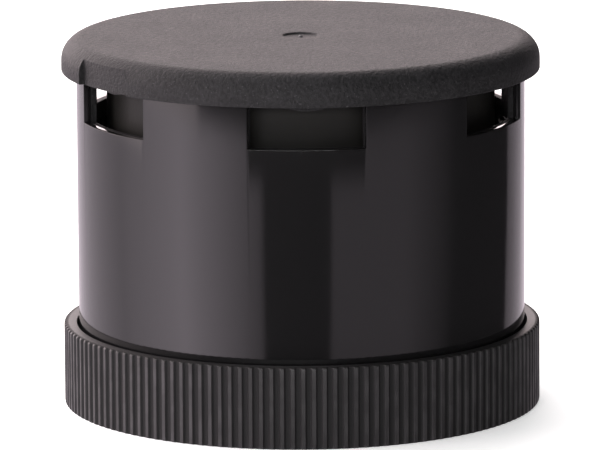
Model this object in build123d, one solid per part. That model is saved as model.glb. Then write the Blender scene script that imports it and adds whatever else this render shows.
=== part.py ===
from build123d import *
import math
import os

# Sounder element of a modular signal tower: a glossy tube with six sound windows under a
# matte cap, standing in a ribbed bayonet ring that locks it onto the element below.
# Millimetres, +Z up, origin on the axis at the ring's underside, front window towards -Y.

# ---- driving dimensions: outside ----
ring_radius = 35.0
ring_height = 11.9
housing_radius = 32.8
cap_radius = 35.0
total_height = 54.2

# ---- cap ----
cap_thickness = 2.2
cap_rim_height = 4.75
cap_edge_radius = 3.2
cap_foot_radius = 0.15
rim_gap = 0.2
gate_radius = 2.5
gate_depth = 0.3
gate_nub_radius = 0.45
deflector_radius = 9.0
deflector_height = 1.8
cap_rib_width = 0.9
cap_rib_height = 0.8
pry_depth = 0.8
pry_start_deg = 202.5
pry_width_deg = 20.7
tongue_width = 8.2
tongue_sag = 1.0
tongue_wall = 1.3

# ---- windows ----
window_count = 6
window_deg = 30.0
sill_height = 43.0
front_deg = 270.0

# ---- housing ----
housing_wall = 1.9
upper_wall = 1.0
skirt_step = 2.4
housing_foot = 7.6
deck_height = 36.0
deck_thickness = 2.0
edge_break = 0.2
top_gap = 0.1
slide_clearance = 0.05
key_width = 1.4
key_depth = 0.35
drain_radius = 0.9
drain_count = 3

# ---- snap catches that carry the ring ----
catch_count = 6
catch_deg = 14.0
catch_reach = 0.55
catch_bottom = 8.2
catch_top = 9.7

# ---- lock ring ----
rib_count = 144
rib_depth = 0.35
crest_share = 0.40
root_share = 0.24
ring_gap = 0.3
ring_wall = 1.05
web_thickness = 2.0
ring_chamfer = 0.3
ring_over = 0.05
lip_height = 3.0
lip_reach = 1.4
notch_count = 3
notch_deg = 14.0
stop_deg = 4.0
turn_deg = 30.0
turn_slack_deg = 0.5
stop_gap = 0.3
stop_inset = 0.9

# ---- base plate and tower connector ----
plate_thickness = 2.0
plate_clearance = 0.1
plate_recess = 0.4
post_radius = 3.2
post_inset = 8.8
post_height = 8.0
post_web = 2.2
gasket_clearance = 0.5
gasket_width = 3.2
gasket_thickness = 1.2
shroud_length = 25.0
shroud_width = 9.0
shroud_wall = 1.3
shroud_reach = 4.2
shroud_corner = 1.5
carrier_flange = 1.2
pin_count = 6
pin_pitch = 3.6
pin_radius = 0.6
pin_reach = 3.4

# ---- screws ----
screw_radius = 1.1
screw_head_radius = 2.1
screw_head_height = 1.3
screw_hole_gap = 0.25
recess_gap = 0.3
drive_width = 0.6
drive_depth = 0.7

# ---- circuit board ----
board_clearance = 1.3
board_thickness = 1.6
board_standoff = 3.0
standoff_radius = 2.6
standoff_x = 15.5
standoff_y = 9.0
notch_gap = 0.5
lead_radius = 0.6
lead_tail = 0.8

# ---- sound driver ----
driver_seal = 0.6
flange_thickness = 1.0
sound_channel = 2.5
horn_wall = 1.4
horn_top = 49.6
horn_shoulder = 0.8
horn_slots = 12
slot_inner = 4.5
slot_outer = 14.0
slot_width = 2.2
screen_thickness = 0.3
screen_margin = 1.2
boss_inset = 2.8
boss_radius = 2.5
boss_clearance = 0.4
boss_height = 5.5
magnet_overhang = 2.0
magnet_clearance = 1.5
magnet_thickness = 5.0
plate_iron = 2.0
front_clearance = 0.55
pole_inset = 7.6
coil_wall = 0.4
coil_clearance = 0.4
coil_length = 4.2
former_wall = 0.25
cone_margin = 2.0
cone_thickness = 0.45
cone_neck = 2.6
cone_sink = 0.6
cone_land = 0.8
dome_rise = 2.6
deck_ledge = 0.2
surround_land = 1.5
surround_gap = 0.15
basket_wall = 1.0
basket_windows = 4
basket_spoke_deg = 26.0
basket_depth = 5.0
throat_margin = 0.8
coil_travel = 0.4

# ---- parts on the board ----
trimmer_window = 3.6
trimmer_size = 6.4
trimmer_height = 2.2
rotor_radius = 2.4
rotor_depth = 1.15
rotor_proud = 0.5
rotor_gap = 0.05
trimmer_x = -12.0
adjuster_y = -17.5
switch_x = 11.5
switch_length = 8.6
switch_width = 4.0
switch_height = 2.4
switch_travel = 2.0
slider_length = 2.0
slider_width = 1.4
slider_drop = 1.5
slider_gap = 0.05
slider_room = 1.2
capacitor_radius = 4.0
capacitor_height = 11.5
capacitor_inset = 6.1
capacitor_degrees = [75.0, 105.0]
core_radius = 5.0
core_height = 6.6
core_flange = 1.2
core_y = 9.5
chip_length = 8.6
chip_width = 3.9
chip_height = 1.5
chip_legs = 16
chip_pitch = 1.0
chip_x = -9.5
chip_y = 14.5
rectifier_x = 9.5
rectifier_y = 13.5

# ---- driver wires ----
wire_radius = 0.6
wire_degrees = [176.0, 184.0]
wire_foot_inset = 5.1
tag_reach = 2.6
tag_height = 34.6
tag_thickness = 0.5
tag_strip_thickness = 1.0
tag_strip_margin = 0.8
tag_strip_deg = 20.0

# ---- worked out from the dimensions above ----
full_turn = 360.0
rim_bottom = total_height - cap_rim_height
cap_underside = total_height - cap_thickness
rim_inner = housing_radius + rim_gap
lower_bore = housing_radius - housing_wall
upper_bore = housing_radius - upper_wall
skirt_outer = upper_bore - slide_clearance
skirt_foot = sill_height - skirt_step
housing_top = cap_underside - top_gap
deck_top = deck_height + deck_thickness
rib_root = ring_radius - rib_depth
ring_inner = rib_root - ring_wall
web_bottom = ring_height - web_thickness
web_bore = housing_radius + ring_gap
socket_radius = housing_radius - lip_reach
plate_bottom = housing_foot + plate_recess
plate_top = plate_bottom + plate_thickness
plate_radius = lower_bore - plate_clearance
post_circle = housing_radius - post_inset
gasket_outer = lower_bore - gasket_clearance
gasket_inner = gasket_outer - gasket_width
board_radius = lower_bore - board_clearance
capacitor_circle = board_radius - capacitor_inset
wire_foot_circle = board_radius - wire_foot_inset
board_bottom = plate_top + board_standoff
board_top = board_bottom + board_thickness
flange_bottom = deck_top + driver_seal
flange_top = flange_bottom + flange_thickness
horn_radius = lower_bore - sound_channel
horn_inner = horn_radius - horn_wall
boss_circle = horn_inner - boss_inset
surround_outer = boss_circle - boss_radius - boss_clearance
deck_bore_radius = surround_outer + deck_ledge
basket_inner_flange = surround_outer - surround_land
cone_outer = basket_inner_flange - cone_margin
basket_throat = cone_outer - throat_margin
magnet_outer = basket_throat + magnet_overhang
tag_circle = magnet_outer + tag_reach
horn_ceiling = horn_top - horn_wall
frame_seat = flange_bottom - basket_depth
front_plate_bottom = frame_seat - plate_iron
magnet_bottom = front_plate_bottom - magnet_thickness
yoke_bottom = magnet_bottom - plate_iron
pole_radius = basket_throat - pole_inset
coil_inner = pole_radius + coil_clearance
coil_outer = coil_inner + former_wall + coil_wall
front_bore = coil_outer + front_clearance
magnet_inner = front_bore + magnet_clearance
post_degrees = [30.0, 150.0, 270.0]
boss_degrees = [90.0, 210.0, 330.0]
window_degrees = [front_deg + k * full_turn / window_count for k in range(window_count)]
pillar_degrees = [angle + full_turn / window_count / 2 for angle in window_degrees]

BOTTOM = (Align.CENTER, Align.CENTER, Align.MIN)


def disc(radius, bottom, top):
    """Solid cylinder on the axis."""
    return Pos(0, 0, bottom) * Cylinder(radius, top - bottom, align=BOTTOM)


def tube(outer, inner, bottom, top):
    """Hollow cylinder on the axis."""
    over = 1.0
    return disc(outer, bottom, top) - disc(inner, bottom - over, top + over)


def sector(inner, outer, bottom, top, middle, width):
    """Slice of a ring, centred on the angle middle, in degrees from +X."""
    face = Plane.XZ * Pos((inner + outer) / 2, (bottom + top) / 2) * Rectangle(outer - inner, top - bottom)
    return Rot(0, 0, middle - width / 2) * revolve(face, Axis.Z, width)


def around(degrees, radius=0.0):
    """Places on a circle, each turned to face outwards."""
    return [Rot(0, 0, angle) * Pos(radius, 0, 0) for angle in degrees]


def turned(points, arc=full_turn):
    """Solid of revolution from an outline of (radius, height) points."""
    return revolve(Plane.XZ * make_face(Polyline(points, close=True)), Axis.Z, arc)


# ---------------------------------------------------------------- cap
def cap_shell():
    """Disc with a rounded rim that reaches down outside the tube."""
    outer, top, bend = cap_radius, total_height, cap_edge_radius
    foot = cap_foot_radius
    mid = math.sqrt(0.5)
    profile = [
        Line((0, top), (outer - bend, top)),
        ThreePointArc(
            (outer - bend, top),
            (outer - bend + bend * mid, top - bend + bend * mid),
            (outer, top - bend),
        ),
        Line((outer, top - bend), (outer, rim_bottom + foot)),
        ThreePointArc(
            (outer, rim_bottom + foot),
            (outer - foot + foot * mid, rim_bottom + foot - foot * mid),
            (outer - foot, rim_bottom),
        ),
        Line((outer - foot, rim_bottom), (rim_inner, rim_bottom)),
        Line((rim_inner, rim_bottom), (rim_inner, cap_underside)),
        Line((rim_inner, cap_underside), (0, cap_underside)),
        Line((0, cap_underside), (0, top)),
    ]
    return revolve(Plane.XZ * make_face(profile), Axis.Z)


def cap_skirt():
    """Inner sleeve of the cap, with openings behind the housing's windows."""
    sleeve = tube(skirt_outer, lower_bore, skirt_foot, cap_underside)
    for angle in window_degrees:
        sleeve -= sector(lower_bore - 1, skirt_outer + 1, sill_height, cap_underside, angle, window_deg)
    key = Pos((skirt_outer + key_depth) / 2 + lower_bore / 2, 0, skirt_foot) * Box(
        skirt_outer + key_depth - lower_bore, key_width, cap_underside - skirt_foot, align=BOTTOM
    )
    return sleeve + Rot(0, 0, pillar_degrees[0]) * key


def rim_tongue():
    """Round-ended tongue that hangs from the rim in the middle of a window."""
    half = tongue_width / 2
    low = rim_bottom - tongue_sag
    outline = [
        Line((-half, rim_bottom), (-half, cap_underside)),
        Line((-half, cap_underside), (half, cap_underside)),
        Line((half, cap_underside), (half, rim_bottom)),
        ThreePointArc((half, rim_bottom), (0, low), (-half, rim_bottom)),
    ]
    plate = extrude(Plane.YZ * make_face(outline), tongue_wall)
    return Pos(skirt_outer - tongue_wall, 0, 0) * plate


def make_cap():
    cap = cap_shell() + cap_skirt()
    for place in around(window_degrees):
        cap += place * rim_tongue()
    tip = 0.8
    cap += turned(
        [
            (0, cap_underside),
            (deflector_radius, cap_underside),
            (tip, cap_underside - deflector_height),
            (0, cap_underside - deflector_height),
        ]
    )
    rib_length = lower_bore - deflector_radius + 1
    rib = Box(rib_length, cap_rib_width, cap_rib_height, align=(Align.MIN, Align.CENTER, Align.MAX))
    for place in around(pillar_degrees, deflector_radius - 0.5):
        cap += place * Pos(0, 0, cap_underside) * rib
    pry_middle = pry_start_deg + pry_width_deg / 2
    cap -= sector(cap_radius - pry_depth, cap_radius + 1, rim_bottom - 1, total_height, pry_middle, pry_width_deg)
    dish_radius = (gate_radius**2 + gate_depth**2) / (2 * gate_depth)
    cap -= Pos(0, 0, total_height - gate_depth + dish_radius) * Sphere(dish_radius)
    return cap + disc(gate_nub_radius, total_height - gate_depth - gate_nub_radius, total_height)


# ---------------------------------------------------------------- housing
def housing_tube():
    """Wall with a stepped bore, windows open at the top, and softened outer edges."""
    wall = tube(housing_radius, lower_bore, housing_foot, housing_top)
    wall -= tube(upper_bore, lower_bore - 1, skirt_foot - top_gap, housing_top + 1)
    for angle in window_degrees:
        wall -= sector(lower_bore - 2, housing_radius + 1, sill_height, housing_top + 1, angle, window_deg)
    return wall


def make_housing():
    body = housing_tube()
    sharp = body.edges().filter_by(
        lambda e: abs(e.center().Z - sill_height) < 0.01 and e.length > housing_radius / 4
    )
    upright = body.edges().filter_by(Axis.Z)
    corners = upright.filter_by(lambda e: math.hypot(e.center().X, e.center().Y) > upper_bore + 0.5)
    body = fillet(list(sharp) + list(corners), edge_break)
    deck = tube(lower_bore + 0.5, deck_bore_radius, deck_height, deck_top)
    for place in around(boss_degrees, boss_circle):
        deck -= place * disc(screw_radius + screw_hole_gap, deck_height - 1, deck_top + 1)
    drain_circle = (horn_radius + lower_bore) / 2
    for place in around(post_degrees, drain_circle):
        deck -= place * disc(drain_radius, deck_height - 1, deck_top + 1)
    body += deck
    post_top = plate_top + post_height
    web_length = lower_bore - post_circle + 0.5
    for place in around(post_degrees, post_circle):
        post = disc(post_radius, plate_top, post_top)
        post += Pos(0, 0, plate_top) * Box(
            web_length, post_web, post_height, align=(Align.MIN, Align.CENTER, Align.MIN)
        )
        body += place * post
    for place in around(post_degrees, post_circle):
        body -= place * disc(screw_radius, plate_top - 1, post_top - 1)
    slot_depth = key_depth + 2 * slide_clearance
    slot = Box(upper_bore + slot_depth, key_width + 0.2, housing_top, align=(Align.MIN, Align.CENTER, Align.MIN))
    slot -= disc(lower_bore + 0.5, -1, housing_top + 1)
    body -= Rot(0, 0, pillar_degrees[0]) * Pos(0, 0, skirt_foot - top_gap) * slot
    for angle in window_degrees[:catch_count]:
        body += catch(angle)
    return body


def catch(angle):
    """Snap catch under the ring's web: flat on top, sloping below."""
    reach = housing_radius + catch_reach
    root = housing_radius - 0.5
    outline = [
        (root, catch_top),
        (reach, catch_top),
        (reach, catch_top - 0.5),
        (housing_radius, catch_bottom),
        (root, catch_bottom),
    ]
    face = make_face(Polyline(outline, close=True))
    return Rot(0, 0, angle - catch_deg / 2) * revolve(Plane.XZ * face, Axis.Z, catch_deg)


# ---------------------------------------------------------------- lock ring
def ribbed_outline():
    """Outline of the grip: a row of flat-topped ribs."""
    pitch = full_turn / rib_count
    flank = (1 - crest_share - root_share) / 2
    corners = [
        (0, ring_radius),
        (crest_share, ring_radius),
        (crest_share + flank, rib_root),
        (crest_share + flank + root_share, rib_root),
    ]
    points = []
    for k in range(rib_count):
        for share, radius in corners:
            angle = math.radians((k + share) * pitch)
            points.append((radius * math.cos(angle), radius * math.sin(angle)))
    return make_face(Polyline(points, close=True))


def ring_blank():
    """Ring without its grip: lip below, web above, edges broken at the outside."""
    outer, top, edge = ring_radius + ring_over, ring_height, ring_chamfer + ring_over
    return turned(
        [
            (socket_radius, 0),
            (outer - edge, 0),
            (outer, edge),
            (outer, top - edge),
            (outer - edge, top),
            (web_bore + ring_chamfer, top),
            (web_bore, top - ring_chamfer),
            (web_bore, web_bottom),
            (ring_inner, web_bottom),
            (ring_inner, lip_height),
            (socket_radius, lip_height),
        ]
    )


def make_lock_ring():
    ring = ring_blank() & extrude(ribbed_outline(), ring_height)
    spacing = full_turn / notch_count
    stop_top = housing_foot - stop_gap
    for k in range(notch_count):
        entry = front_deg + k * spacing
        stop = entry + notch_deg / 2 + turn_deg + stop_deg / 2
        ring += sector(socket_radius + stop_inset, ring_inner + 0.3, lip_height - 0.5, stop_top, stop, stop_deg)
        ring -= sector(socket_radius - 1, ring_inner, -1, lip_height + 1, entry, notch_deg)
    block_deg = full_turn / catch_count - catch_deg - turn_deg - 2 * turn_slack_deg
    first_catch = front_deg + catch_deg / 2 + turn_slack_deg
    for k in range(notch_count):
        middle = first_catch + block_deg / 2 + k * spacing
        ring += sector(web_bore + 0.1, ring_inner + 0.3, catch_bottom, web_bottom + 0.3, middle, block_deg)
    return ring


# ---------------------------------------------------------------- base plate and connector
def shroud_outline(grow):
    """Keyed rectangle of the tower connector: one pair of corners is cut off."""
    box = RectangleRounded(shroud_length + 2 * grow, shroud_width + 2 * grow, shroud_corner + max(grow, -1.0))
    key = Pos(shroud_length / 2 + grow, shroud_width / 2 + grow) * Rot(0, 0, 45) * Rectangle(3.4, 3.4)
    return box - key


def trimmer_place():
    return Pos(trimmer_x, adjuster_y, 0)


def switch_place():
    return Pos(switch_x, adjuster_y, 0)


def make_base_plate():
    plate = disc(plate_radius, plate_bottom, plate_top)
    for place in around(post_degrees, post_circle):
        plate -= place * disc(screw_radius + screw_hole_gap, plate_bottom - 1, plate_top + 1)
        plate -= place * disc(screw_head_radius + recess_gap, plate_bottom - 1, plate_bottom + screw_head_height)
    slot = Pos(0, 0, plate_bottom - 1) * extrude(shroud_outline(0.05), plate_thickness + 2)
    plate -= slot
    for x in (-standoff_x, standoff_x):
        for y in (-standoff_y, standoff_y):
            leg = Pos(x, y, 0) * disc(standoff_radius, plate_top - 0.5, board_bottom)
            plate += leg - Pos(x, y, 0) * disc(screw_radius, plate_top + 0.5, board_bottom + 1)
    plate -= trimmer_place() * disc(trimmer_window, plate_bottom - 1, plate_top + 1)
    window = Box(switch_travel + slider_length + 2, slider_width + 1.6, plate_thickness + 2, align=BOTTOM)
    plate -= switch_place() * Pos(0, 0, plate_bottom - 1) * window
    return plate


def make_connector_body():
    low = plate_bottom - shroud_reach
    shroud = Pos(0, 0, low) * extrude(shroud_outline(0), plate_top - low)
    shroud -= Pos(0, 0, low - 1) * extrude(shroud_outline(-shroud_wall), plate_bottom - low + 1)
    flange = Pos(0, 0, plate_top) * extrude(shroud_outline(1.2), carrier_flange)
    body = shroud + flange
    for x in pin_places():
        body -= Pos(x, 0, 0) * disc(pin_radius, low - 1, board_top)
    return body


def pin_places():
    return [(k - (pin_count - 1) / 2) * pin_pitch for k in range(pin_count)]


def make_contact_pins():
    """Round pins with domed tips, soldered through the board."""
    pins = []
    for x in pin_places():
        pin = disc(pin_radius, plate_bottom - pin_reach, board_top + lead_tail)
        tip = pin.edges().filter_by(GeomType.CIRCLE).sort_by(Axis.Z)[0]
        pins.append(Pos(x, 0, 0) * fillet(tip, pin_radius * 0.8))
    return pins


def make_tower_gasket():
    """Flat rubber ring with two pressed beads on its lower face."""
    low = plate_bottom - gasket_thickness
    bead = 0.35
    middle = (gasket_outer + gasket_inner) / 2
    ring = tube(gasket_outer, gasket_inner, low + bead, plate_bottom)
    for radius in (middle - 0.8, middle + 0.8):
        ring += tube(radius + bead, radius - bead, low, plate_bottom - bead)
    return ring


# ---------------------------------------------------------------- screws
def screw(length, direction):
    """Pan-head screw whose seat is at the origin; direction 1 points the shank up."""
    shank = disc(screw_radius - 0.02, 0, length)
    head = disc(screw_head_radius, -screw_head_height, 0)
    head = fillet(head.edges().filter_by(GeomType.CIRCLE).sort_by(Axis.Z)[0], screw_head_height * 0.4)
    for turn in (0, 90):
        head -= Pos(0, 0, -screw_head_height) * Rot(0, 0, turn) * Box(
            screw_head_radius * 1.3, drive_width, drive_depth, align=BOTTOM
        )
    whole = shank + head
    return whole if direction > 0 else Rot(180, 0, 0) * whole


def make_base_screws():
    seat = plate_bottom + screw_head_height
    return [place * Pos(0, 0, seat) * screw(plate_thickness + 5.0, 1) for place in around(post_degrees, post_circle)]


def make_board_screws():
    length = board_thickness + board_standoff - 0.8
    return [
        Pos(x, y, board_top) * screw(length, -1)
        for x in (-standoff_x, standoff_x)
        for y in (-standoff_y, standoff_y)
    ]


def make_driver_screws():
    length = flange_top - deck_height + boss_height - 1.5
    return [place * Pos(0, 0, deck_height) * screw(length, 1) for place in around(boss_degrees, boss_circle)]


# ---------------------------------------------------------------- circuit board
def make_circuit_board():
    board = disc(board_radius, board_bottom, board_top)
    slot_width = 2 * (post_radius + notch_gap)
    reach = board_radius + 2 - post_circle
    for place in around(post_degrees, post_circle):
        board -= place * disc(post_radius + notch_gap, board_bottom - 1, board_top + 1)
        board -= place * Pos(0, 0, board_bottom - 1) * Box(
            reach, slot_width, board_thickness + 2, align=(Align.MIN, Align.CENTER, Align.MIN)
        )
    for x in pin_places():
        board -= Pos(x, 0, 0) * disc(pin_radius, board_bottom - 1, board_top + 1)
    for x in (-standoff_x, standoff_x):
        for y in (-standoff_y, standoff_y):
            board -= Pos(x, y, 0) * disc(screw_radius + screw_hole_gap, board_bottom - 1, board_top + 1)
    for angle, radius in wire_feet():
        board -= Rot(0, 0, angle) * Pos(radius, 0, 0) * disc(lead_radius, board_bottom - 1, board_top + 1)
    return board


def make_capacitors():
    cans = []
    for place in around(capacitor_degrees, capacitor_circle):
        can = disc(capacitor_radius, board_top, board_top + capacitor_height)
        can = fillet(can.edges().filter_by(GeomType.CIRCLE), 0.5)
        waist = board_top + 1.8
        can -= tube(capacitor_radius + 1, capacitor_radius - 0.3, waist, waist + 0.8)
        cans.append(place * can)
    return cans


def make_step_up_core():
    """Ferrite drum core."""
    low, high = board_top, board_top + core_height
    core = disc(core_radius, low, low + core_flange)
    core += disc(core_radius * 0.5, low, high)
    core += disc(core_radius, high - core_flange, high)
    return Pos(0, core_y, 0) * core


def make_step_up_winding():
    low, high = board_top + core_flange, board_top + core_height - core_flange
    return Pos(0, core_y, 0) * tube(core_radius * 0.86, core_radius * 0.5, low, high)


def make_driver_chip():
    body = Pos(chip_x, chip_y, board_top + 0.15) * Box(chip_length, chip_width, chip_height, align=BOTTOM)
    return chamfer(body.edges().group_by(Axis.Z)[-1], 0.25)


def make_chip_legs():
    """Gull-wing legs: a foot on the board and a riser at the package's side."""
    legs = []
    per_side = chip_legs // 2
    foot = Box(0.4, 1.1, 0.15, align=BOTTOM)
    riser = Box(0.4, 0.2, chip_height * 0.6, align=BOTTOM)
    for k in range(per_side):
        x = chip_x + (k - (per_side - 1) / 2) * chip_pitch
        for side in (-1, 1):
            leg = Pos(0, side * 0.55, 0) * foot + Pos(0, side * 0.1, 0) * riser
            legs.append(Pos(x, chip_y + side * chip_width / 2, board_top) * leg)
    return legs


def make_rectifier():
    """Bridge rectifier block with its marked corner cut off."""
    block = Box(7.0, 6.4, 2.6, align=BOTTOM)
    block -= Pos(3.5, 3.2, 0) * Rot(0, 0, 45) * Box(1.8, 1.8, 8)
    return Pos(rectifier_x, rectifier_y, board_top) * block


def make_small_parts():
    """Chip resistors and capacitors in two rows."""
    size = (2.0, 1.25, 0.6)
    rows = [(x, -6.5) for x in (-9.0, -5.4, -1.8, 1.8, 5.4, 9.0)] + [(x, -11.0) for x in (-7.2, -3.6, 0.0, 3.6, 7.2)]
    return [Pos(x, y, board_top) * Box(*size, align=BOTTOM) for x, y in rows]


def make_trimmer_body():
    """Square trimmer under the board, open below for its rotor."""
    low = board_bottom - trimmer_height
    body = Pos(0, 0, low) * Box(trimmer_size, trimmer_size, trimmer_height, align=BOTTOM)
    body -= disc(rotor_radius + rotor_gap, low - 1, low + rotor_depth)
    return trimmer_place() * body


def make_trimmer_rotor():
    """Rotor with a cross slot and an arrow notch at its edge."""
    low = board_bottom - trimmer_height - rotor_proud
    rotor = disc(rotor_radius, low, low + rotor_proud + rotor_depth - rotor_gap)
    for turn in (0, 90):
        rotor -= Pos(0, 0, low) * Rot(0, 0, turn) * Box(3.4, 0.7, 1.6)
    rotor -= Pos(rotor_radius, 0, low) * Rot(0, 0, 45) * Box(0.6, 0.6, 0.5)
    return trimmer_place() * rotor


def make_switch_body():
    """Slide-switch case under the board, open below for its knob."""
    low = board_bottom - switch_height
    body = Pos(0, 0, low) * Box(switch_length, switch_width, switch_height, align=BOTTOM)
    length = switch_travel + slider_length + 2 * slider_gap
    room = Box(length, slider_width + 2 * slider_gap, slider_room + 0.2, align=BOTTOM)
    return switch_place() * (body - Pos(0, 0, low - 0.2) * room)


def make_switch_slider():
    low = board_bottom - switch_height - slider_drop
    knob = Box(slider_length, slider_width, slider_drop + slider_room - slider_gap, align=BOTTOM)
    for k in (-1, 0, 1):
        knob -= Pos(k * slider_length / 4, 0, 0) * Box(0.2, slider_width + 1, 0.4)
    return switch_place() * Pos(-switch_travel / 2, 0, low) * knob


# ---------------------------------------------------------------- sound driver
def make_driver_seal():
    ring = tube(horn_radius, deck_bore_radius, deck_top, flange_bottom)
    for place in around(boss_degrees, boss_circle):
        ring -= place * disc(screw_radius + screw_hole_gap, deck_top - 1, flange_bottom + 1)
    return ring


def basket_outside(height):
    """Outer radius of the basket's slope at a height."""
    low, high = basket_throat, basket_inner_flange + basket_wall
    return low + (height - frame_seat) * (high - low) / (flange_bottom - frame_seat)


def make_basket():
    """Pressed frame: a rim on the deck, four arms and a seat on the front plate."""
    wall = basket_wall
    throat = basket_throat
    frame = turned(
        [
            (horn_radius, flange_bottom),
            (horn_radius, flange_top),
            (basket_inner_flange, flange_top),
            (throat - wall, frame_seat + wall),
            (front_bore + 1, frame_seat + wall),
            (front_bore + 1, frame_seat),
            (throat, frame_seat),
            (basket_inner_flange + wall, flange_bottom),
        ]
    )
    open_deg = full_turn / basket_windows - basket_spoke_deg
    for k in range(basket_windows):
        angle = 45 + k * full_turn / basket_windows
        low, high = frame_seat + wall + 0.4, flange_bottom - 0.8
        frame -= sector(throat - 3, basket_inner_flange + 0.6, low, high, angle, open_deg)
    for place in around(boss_degrees, boss_circle):
        frame -= place * disc(screw_radius + screw_hole_gap, flange_bottom - 1, flange_top + 1)
    return frame


def make_front_plate():
    return tube(magnet_outer - 1, front_bore, front_plate_bottom, frame_seat)


def make_magnet():
    ring = tube(magnet_outer, magnet_inner, magnet_bottom, front_plate_bottom)
    return chamfer(ring.edges().filter_by(lambda e: abs(e.length - 2 * math.pi * magnet_outer) < 0.5), 0.5)


def make_yoke():
    plate = disc(magnet_outer - 0.5, yoke_bottom, magnet_bottom)
    pole = disc(pole_radius, magnet_bottom - 0.5, frame_seat + 0.4)
    pole = fillet(pole.edges().filter_by(GeomType.CIRCLE).sort_by(Axis.Z)[-1], 0.4)
    vent = disc(2.0, yoke_bottom - 1, frame_seat + 2)
    return plate + pole - vent


def shell_dome(edge_radius, edge_height, rise):
    """Spherical cap that stands on a circle of the given radius and height."""
    radius = (edge_radius**2 + rise**2) / (2 * rise)
    ball = Pos(0, 0, edge_height + rise - radius) * Sphere(radius)
    return ball & disc(edge_radius, edge_height, edge_height + rise + 1)


def make_diaphragm():
    """Cone with its coil former and dust cap, pressed as one sheet."""
    neck = frame_seat + cone_neck
    rim = flange_top - cone_sink
    former_outer = coil_inner + former_wall
    t = cone_thickness
    cone = turned(
        [
            (coil_inner, neck - t),
            (former_outer, neck - t),
            (cone_outer - cone_land, rim - t),
            (cone_outer, rim - t),
            (cone_outer, rim),
            (cone_outer - cone_land, rim),
            (former_outer, neck),
            (coil_inner, neck),
        ]
    )
    former_low = frame_seat - plate_iron / 2 - coil_length / 2
    former = tube(former_outer, coil_inner, former_low, neck - t / 2)
    cap = shell_dome(former_outer, neck - t / 2, dome_rise)
    cap -= shell_dome(former_outer - t, neck - t / 2 - 0.01, dome_rise - t)
    return cone + former + cap


def make_voice_coil():
    former_outer = coil_inner + former_wall
    middle = frame_seat - plate_iron / 2
    return tube(coil_outer, former_outer, middle - coil_length / 2, middle + coil_length / 2)


def make_surround():
    """Half-roll of rubber between the cone's edge and the frame's rim."""
    start = cone_outer + surround_gap
    land = basket_inner_flange + 0.4
    roll = (land - start) / 2
    middle = start + roll
    base = flange_top
    t = 0.35
    outline = [
        ThreePointArc((start, base), (middle, base + roll), (land, base)),
        Line((land, base), (surround_outer, base)),
        Line((surround_outer, base), (surround_outer, base + t)),
        Line((surround_outer, base + t), (land + t, base + t)),
        ThreePointArc((land + t, base + t), (middle, base + roll + t), (start, base + t)),
        Line((start, base + t), (start, base)),
    ]
    return revolve(Plane.XZ * make_face(outline), Axis.Z)


def make_horn_cover():
    """Drum over the driver: round shoulder, slotted top and three screw bosses."""
    outer, top, bend = horn_radius, horn_top, horn_shoulder
    mid = math.sqrt(0.5)
    profile = [
        Line((0, top), (outer - bend, top)),
        ThreePointArc((outer - bend, top), (outer - bend + bend * mid, top - bend + bend * mid), (outer, top - bend)),
        Line((outer, top - bend), (outer, flange_top)),
        Line((outer, flange_top), (horn_inner, flange_top)),
        Line((horn_inner, flange_top), (horn_inner, horn_ceiling)),
        Line((horn_inner, horn_ceiling), (0, horn_ceiling)),
        Line((0, horn_ceiling), (0, top)),
    ]
    cover = revolve(Plane.XZ * make_face(profile), Axis.Z)
    slot = SlotCenterToCenter(slot_outer - slot_inner, slot_width)
    middle = (slot_outer + slot_inner) / 2
    for k in range(horn_slots):
        place = Rot(0, 0, k * full_turn / horn_slots) * Pos(middle, 0, horn_ceiling - 1)
        reach = slot if k % 2 == 0 else Pos(1.6, 0) * SlotCenterToCenter(slot_outer - slot_inner - 3.2, slot_width)
        cover -= place * extrude(reach, horn_wall + 2)
    for place in around(boss_degrees, boss_circle):
        boss = disc(boss_radius, flange_top, flange_top + boss_height)
        boss += Pos(0, 0, flange_top) * Box(
            horn_inner - boss_circle + 0.3, 1.6, boss_height, align=(Align.MIN, Align.CENTER, Align.MIN)
        )
        cover += place * boss
        cover -= place * disc(screw_radius, flange_top - 1, flange_top + boss_height - 0.8)
    return cover


def make_sound_screen():
    return disc(slot_outer + slot_width / 2 + screen_margin, horn_ceiling - screen_thickness, horn_ceiling)


# ---------------------------------------------------------------- driver wires
def wire_feet():
    return [(angle, wire_foot_circle) for angle in wire_degrees]


def make_terminal_tags():
    """Brass tags riveted to one arm of the basket."""
    tags = []
    for angle in wire_degrees:
        tag = Box(3.6, 1.8, tag_thickness, align=(Align.CENTER, Align.CENTER, Align.MAX))
        tags.append(Rot(0, 0, angle) * Pos(tag_circle - 0.2, 0, tag_height) * tag)
    return tags


def make_tag_board():
    """Strip that carries both tags, seated against the slope of one arm of the basket."""
    low, high = tag_height, tag_height + tag_strip_thickness
    middle = sum(wire_degrees) / len(wire_degrees)
    outline = [
        (basket_outside(low), low),
        (tag_circle + tag_strip_margin, low),
        (tag_circle + tag_strip_margin, high),
        (basket_outside(high), high),
    ]
    return Rot(0, 0, middle - tag_strip_deg / 2) * turned(outline, tag_strip_deg)


def make_wire(angle):
    """Stranded lead from the board up to its tag, with one gentle bow."""
    low = board_bottom
    route = [
        (wire_foot_circle, 0, low),
        (wire_foot_circle, 0, low + 6.5),
        (wire_foot_circle + 1.8, 0, low + 13.0),
        (tag_circle + 0.4, 0, low + 17.5),
        (tag_circle + 0.4, 0, tag_height - tag_thickness),
    ]
    radii = bend_radii(route)
    path = FilletPolyline(*route, radius=radii)
    lead = sweep(Plane(origin=route[0], z_dir=(0, 0, 1)) * Circle(wire_radius), path=path)
    return Rot(0, 0, angle) * lead


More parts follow.
